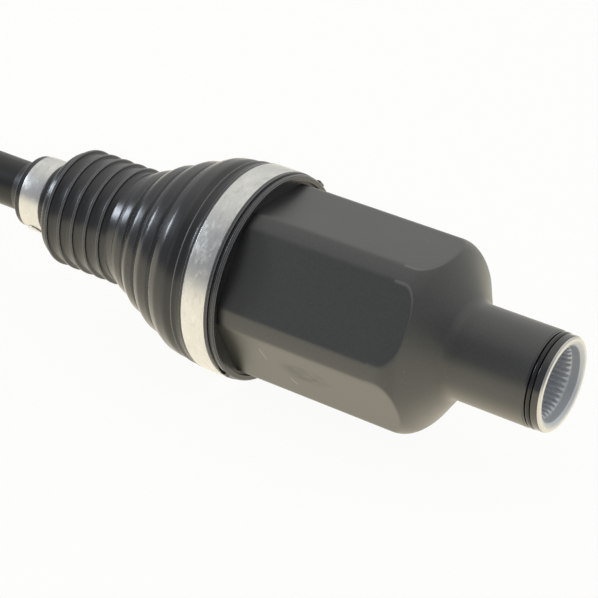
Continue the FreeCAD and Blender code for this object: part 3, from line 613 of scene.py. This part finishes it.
def bootOutside():
    k = bootLook
    crests = lobeCrests()
    end = k["end"]
    collar = k["collar"]
    # lip, groove, the clamp's seat between two ridges, and the step before the lobes
    points = [(end, k["seat"]), (end, collar, 0.5), (end + 0.7, collar + 0.5, 0.6),
              (138.6, collar + 0.5, 0.5), (138.9, collar - 0.2, 0.3), (139.6, collar - 0.2, 0.3),
              (140.0, collar + 1.0, 0.5), (141.2, collar + 1.0, 0.3), (141.25, collar + 0.05, 0.15),
              (152.95, collar + 0.05, 0.15), (153.0, collar + 1.0, 0.3), (154.1, collar + 1.0, 0.5),
              (155.0, collar, 0.7), (157.0, collar - 0.1, 1.0), (158.3, collar + 0.6, 0.35),
              (158.8, collar + 0.3, 0.3), (159.5, collar - 1.6, 0.6)]
    for number, (station, radius, gap) in enumerate(crests):
        after = radiusAfter(crests, number)
        points.append((station - gap * 0.30, radius - 0.1, gap * 0.28))
        points.append((station + gap * 0.12, radius - 0.9, gap * 0.50))
        points.append((station + gap * 0.44, (radius + after) / 2 - 0.1, gap * 0.25))
        points.append((station + gap * 0.60 - 0.35, after + 0.8, 0.3))
        points.append((station + gap * 0.60, after + k["crease"], 0.25))
    for crest in range(4, -1, -1):
        station = k["crestFirst"] - crest * k["crestPitch"]
        half = k["crestWidth"] / 2
        points.append((station - k["crestPitch"] / 2, k["rootRadius"] - 0.1, 2.0))
        points.append((station - half - 0.35, k["rootRadius"] + 0.1, 0.6))
        points.append((station - half, k["crestRadius"], 0.5))
        points.append((station + half, k["crestRadius"], 0.5))
        points.append((station + half + 0.35, k["rootRadius"] + 0.1, 0.6))
    points += [(245.3, 24.7, 2.5), (248.3, 17.05, 1.6), (253.2, 17.0, 0.4), (253.25, 15.9, 0.2),
               (264.3, 15.9, 0.2), (264.4, 16.4, 0.3), (267.2, 16.4, 0.5), (267.25, 13.9)]
    return points


def bootInside():
    k = bootLook
    points = [(265.0, 13.85), (249.0, 13.85, 1.0), (243.5, 23.0, 2.0)]
    for crest in range(5):
        points.append((k["crestFirst"] - (crest + 0.5) * k["crestPitch"], k["rootRadius"] - k["wall"], 1.0))
    crests = lobeCrests()
    for number in (3, 2, 1, 0):
        station, radius, gap = crests[number]
        after = radiusAfter(crests, number)
        points.append((station + gap * 0.60, after + k["crease"] - k["creaseWall"]))
        points.append((station + gap * 0.20, radius - 2.2, 1.5))
        points.append((station - gap * 0.30, radius - 1.0, 0.8))
    points += [(158.3, 41.2, 0.6), (158.3, k["seat"], 0.3), (k["end"], k["seat"])]
    return points


def bootTabs():
    # small moulded tabs on the boot's large end
    foot = bootLook["collar"] - 0.4
    top = foot + 1.85
    section = rounded([(137.4, foot, 0.2), (139.7, foot, 0.2), (139.7, top, 0.6), (137.4, top, 0.6)],
                      closed=True, finest=20.0)
    for number, middle in enumerate(bootLook["tabAngles"]):
        half = bootLook["tabHalf"] / 45.5
        angles = math.radians(middle) + np.linspace(-half, half, 13)
        turns = np.concatenate([angles[:1], angles, angles[-1:]])
        grid = np.zeros((len(section), len(turns), 3))
        for row, (station, radius) in enumerate(section):
            reach = np.array([foot] + [radius] * len(angles) + [foot])
            grid[row, :, 0] = -station
            grid[row, :, 1] = reach * np.cos(turns)
            grid[row, :, 2] = reach * np.sin(turns)
        obj = gridMesh("bootTab" + str(number + 1), grid, wrapRows=True, wrapColumns=False)
        dress(obj, looks["boot_rubber"])
        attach(obj, "housing")


def buildInnerBoot():
    outside = finer(rounded(bootOutside(), finest=12.0), 1.2)
    inside = finer(rounded(bootInside(), finest=20.0), 2.4)
    crests = lobeCrests()
    split = crests[1][0] + crests[1][2] * bootLook["splitShare"]
    # the two pieces overlap a little at the split
    wideOutline = [p for p in outside if p[0] < split + 0.02] + [p for p in inside if p[0] < split]
    narrowOutline = [p for p in outside if p[0] > split - 0.25] + [p for p in inside if p[0] >= split]
    wide = lathe("innerBootWide", wideOutline, 360)
    narrow = lathe("innerBootNarrow", narrowOutline, 360)
    for obj, outline in ((wide, wideOutline), (narrow, narrowOutline)):
        setEdges(obj, outline, 360)
        dress(obj, looks["boot_rubber"])
        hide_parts("inner_boot")
    -(split - 0.5) * mm
    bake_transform(wide)
    -(split - 4.0) * mm
    -(split + 26.0) * mm
    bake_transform(narrow)


buildInnerBoot()
bootTabs()
print("inner boot built")


# Outer boot

outerBootLook = {"crests": 6, "firstRadius": 45.4, "lastRadius": 24.0, "depth": 8.5, "mouth": 510.9,
                 "smallEnd": 438.0, "margin": 6.0, "wall": 2.0}


def buildOuterBoot():
    k = outerBootLook
    pitch = (k["mouth"] - k["smallEnd"] - 2 * k["margin"]) / k["crests"]
    outside = [(525.4, 43.55), (525.4, 45.55, 0.6), (514.4, 45.55, 0.3), (514.4, 46.15, 0.3),
               (509.9, 46.15, 0.6)]
    inside = []
    for crest in range(k["crests"]):
        share = crest / (k["crests"] - 1)
        radius = k["firstRadius"] + (k["lastRadius"] - k["firstRadius"]) * share
        root = radius - k["depth"] * (1 - share / 2)
        station = k["mouth"] - k["margin"] - pitch * (crest + 0.5)
        outside += [(station + pitch / 2, root, 1.4), (station + 1.2, radius, 1.2),
                    (station - 1.2, radius, 1.2)]
        inside += [(station + pitch / 2, root - k["wall"], 1.0), (station, radius - k["wall"], 1.0)]
    outside += [(441.0, 16.25, 1.0), (438.0, 15.05, 0.5), (424.0, 15.05, 0.4), (424.0, 13.05)]
    inside += [(441.0, 13.05, 1.0), (424.4, 13.05)]
    inside = [(520.0, 43.55), (510.9, 43.55, 0.3), (510.9, inside[0][1], 0.3)] + inside
    inside.reverse()
    outline = finer(rounded(outside + inside[:-1], finest=14.0), 1.6)
    obj = lathe("outerBoot", outline, 300)
    setEdges(obj, outline, 300)
    dress(obj, looks["outer_boot_rubber"])
    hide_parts("outer_boot")
    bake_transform(obj)


buildOuterBoot()
print("outer boot built")


# Clamps

clampLook = {"earWidth": 7.5, "earHeight": 3.2, "earFoot": 1.6, "lapFrom": 215.0, "lapTo": 267.0,
             "earTurn": 18.5}


def strip(name, path, normals, start, width, thickness, closed):
    # a band of rounded cross-section along a path in the plane square to the shaft line
    edge = min(0.35, thickness * 0.4)
    section = rounded([(0, 0, edge), (width, 0, edge), (width, thickness, edge), (0, thickness, edge)],
                      closed=True, finest=22.0)
    grid = np.zeros((len(section), len(path), 3))
    for row, (across, up) in enumerate(section):
        grid[row, :, 0] = -(start + across)
        grid[row, :, 1:] = path + normals * up
    return gridMesh(name, grid, wrapRows=True, wrapColumns=closed)


def ringWithEar(name, inner, thickness, start, width, earAngle):
    # inner is the band's inside radius; earAngle runs from +Y to +Z
    half = clampLook["earWidth"] / 2 - thickness
    top = inner + clampLook["earHeight"] - thickness
    foot = math.sqrt(inner ** 2 - half ** 2)
    wide = half + clampLook["earFoot"]
    spread = math.sqrt(inner ** 2 - wide ** 2)
    ear = rounded([(-wide, spread), (-half, foot, 0.7), (-half, top, 1.2), (half, top, 1.2),
                   (half, foot, 0.7), (wide, spread)], finest=15.0)
    gap = math.asin(wide / inner)
    sweep = np.linspace(math.pi / 2 - gap, math.pi / 2 + gap - 2 * math.pi, 300)[1:-1]
    points = np.array([tuple(p) for p in ear] + [(inner * math.cos(a), inner * math.sin(a)) for a in sweep])
    ahead = np.roll(points, -1, 0) - np.roll(points, 1, 0)
    normals = np.stack([-ahead[:, 1], ahead[:, 0]], -1)
    normals /= np.linalg.norm(normals, axis=1)[:, None]
    turn = math.radians(earAngle) - math.pi / 2
    rotate = np.array([[math.cos(turn), math.sin(turn)], [-math.sin(turn), math.cos(turn)]])
    return strip(name, points @ rotate, normals @ rotate, start, width, thickness, True)


def plainBand(name, inner, thickness, start, width):
    angles = np.linspace(0, 2 * math.pi, 300, endpoint=False)
    normals = np.stack([np.cos(angles), np.sin(angles)], -1)
    return strip(name, normals * inner, normals, start, width, thickness, True)


def lapTongue(name, inner, thickness, start, width):
    # the band's free end, narrowing to a round tip
    angles = np.radians(np.linspace(clampLook["lapFrom"], clampLook["lapTo"], 60))
    normals = np.stack([np.cos(angles), np.sin(angles)], -1)
    obj = strip(name, normals * inner, normals, start, width, thickness, False)
    count = len(angles)
    middle = -(start + width / 2) * mm
    reach = (angles - angles[0]) * inner * mm
    for vertex in obj.data.vertices:
        run = reach[vertex.index % count]
        tip = 0.6 * width * mm
        if run < tip:
            share = math.sqrt(max(0.0, 1 - (1 - run / tip) ** 2))
            vertex.co.x = middle + (vertex.co.x - middle) * max(share, 0.02)
    return obj


def buildClamps():
    steelLook = looks["clamp_steel"]
    # the part stands on the two ears
    inner = ringWithEar("innerLargeClamp", 45.1, 1.0, 141.3, 11.6, 270 + clampLook["earTurn"])
    outer = ringWithEar("outerLargeClamp", 45.6, 1.0, 514.9, 10.0, 270 - clampLook["earTurn"])
    for obj, body, node in ((inner, "housing", "inner_large_clamp"), (outer, "bell", "outer_large_clamp")):
        dress(obj, steelLook)
        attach(obj, body)
        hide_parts(node)
    for label, radius, start, width, node in (("inner", 15.9, 253.3, 11.0, "inner_small_clamp"),
                                              ("outer", 15.1, 426.5, 9.0, "outer_small_clamp")):
        ring = plainBand(label + "SmallClamp", radius, 0.9, start, width)
        tongue = lapTongue(label + "ClampTongue", radius + 0.88, 0.55, start + 1.0, width - 2.0)
        for obj in (ring, tongue):
            dress(obj, steelLook)
            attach(obj, "shaft")
        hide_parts(node)


buildClamps()
print("clamps built")


# Camera, lights and floor

cameraLook = {"lens": 131.237, "place": (0.30509, -0.67979, 0.43308), "turn": (61.359, -3.166, 34.046)}


def placeCamera():
    data = bpy.data.cameras.new("camera")
    data.lens = cameraLook["lens"]
    data.sensor_width = 36.0
    data.clip_start = 0.05
    camera = bpy.data.objects.new("camera", data)
    camera.location = cameraLook["place"]
    camera.rotation_euler = Euler([math.radians(value) for value in cameraLook["turn"]])
    bpy.context.scene.collection.objects.link(camera)
    bpy.context.scene.camera = camera


def areaLight(name, place, aim, size, watts, colour):
    data = bpy.data.lights.new(name, "AREA")
    data.shape = "RECTANGLE"
    data.size, data.size_y = size
    data.energy = watts
    data.color = colour
    light = bpy.data.objects.new(name, data)
    light.location = place
    light.rotation_euler = (Vector(aim) - Vector(place)).to_track_quat("-Z", "Y").to_euler()
    bpy.context.scene.collection.objects.link(light)


studioLook = {"skyDark": (0.41, 0.42, 0.44), "skyBright": (1.00, 1.00, 0.955),
              "towardsBright": (0.0, 0.62, 0.78), "paperDark": (0.84, 0.81, 0.73),
              "paperLight": (0.88, 0.85, 0.77), "floorSeen": (1.0, 1.0, 0.99),
              "floorGloss": (1.50, 1.40, 1.16), "floorFar": (0.86, 0.86, 0.82), "floorShare": 0.95,
              "glossShare": 0.96, "windowPlace": (-1.27, -0.29, 0.42), "windowAim": (-0.18, 0, 0),
              "windowSize": (0.26, 0.3), "windowWatts": 4.2, "windowColour": (0.82, 0.9, 1)}


def studio(floorHeight):
    k = studioLook
    data = bpy.data.meshes.new("floor")
    data.from_pydata([(-4, -4, 0), (4, -4, 0), (4, 4, 0), (-4, 4, 0)], [], [(0, 1, 2, 3)])
    floor = bpy.data.objects.new("floor", data)
    floor.location = (-0.2, 0.0, floorHeight)
    bpy.context.scene.collection.objects.link(floor)
    material, m = newMaterial("floorPaper")
    here = m.place()
    colour = m.mix(m.noise(here, 300.0, 2.0), k["paperDark"], k["paperLight"])
    paper = m.add("ShaderNodeBsdfPrincipled", {},
                  {"Base Color": colour, "Roughness": 0.9, "Specular IOR Level": 0.0})
    camera = m.add("ShaderNodeLightPath", output=0)
    glossy = m.add("ShaderNodeLightPath", output=3)
    # the ground's glare fades away from the part
    reach = m.add("ShaderNodeVectorMath", {"operation": "LENGTH"}, {0: here}, 1).smooth(0.25, 1.1)
    glare = m.add("ShaderNodeEmission", {},
                  {"Color": m.mix(reach, k["floorGloss"], k["floorFar"]), "Strength": 1.0})
    ground = m.add("ShaderNodeMixShader", {}, {0: glossy * k["glossShare"], 1: paper, 2: glare})
    # the camera sees the white world through the floor, so a shaft that swings below it isn't cut off
    below = m.add("ShaderNodeNewGeometry", output=6)
    through = 1.0 - (1.0 - camera * k["floorShare"]) * (1.0 - below)
    clear = m.add("ShaderNodeBsdfTransparent", {}, {"Color": k["floorSeen"]})
    m.finish(m.add("ShaderNodeMixShader", {}, {0: through, 1: ground, 2: clear}))
    dress(floor, material)
    floor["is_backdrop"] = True
    bpy.context.scene.view_settings.view_transform = "Standard"
    world = bpy.data.worlds.new("studio")
    bpy.context.scene.world = world
    world.use_nodes = True
    w = Maker(world.node_tree)
    towards = w.add("ShaderNodeVectorMath", {"operation": "DOT_PRODUCT"},
                    {0: w.add("ShaderNodeTexCoord"), 1: k["towardsBright"]}, 1)
    sky = w.mix(towards.smooth(0.1, 0.85), k["skyDark"], k["skyBright"])
    shown = w.mix(w.add("ShaderNodeLightPath"), sky, (1, 1, 1))
    background = w.add("ShaderNodeBackground", {}, {"Color": shown, "Strength": 1.0})
    w.finish(background, "ShaderNodeOutputWorld")
    areaLight("window", k["windowPlace"], k["windowAim"], k["windowSize"], k["windowWatts"],
              k["windowColour"])


placeCamera()
studio(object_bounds()[0][2])
print("studio ready")
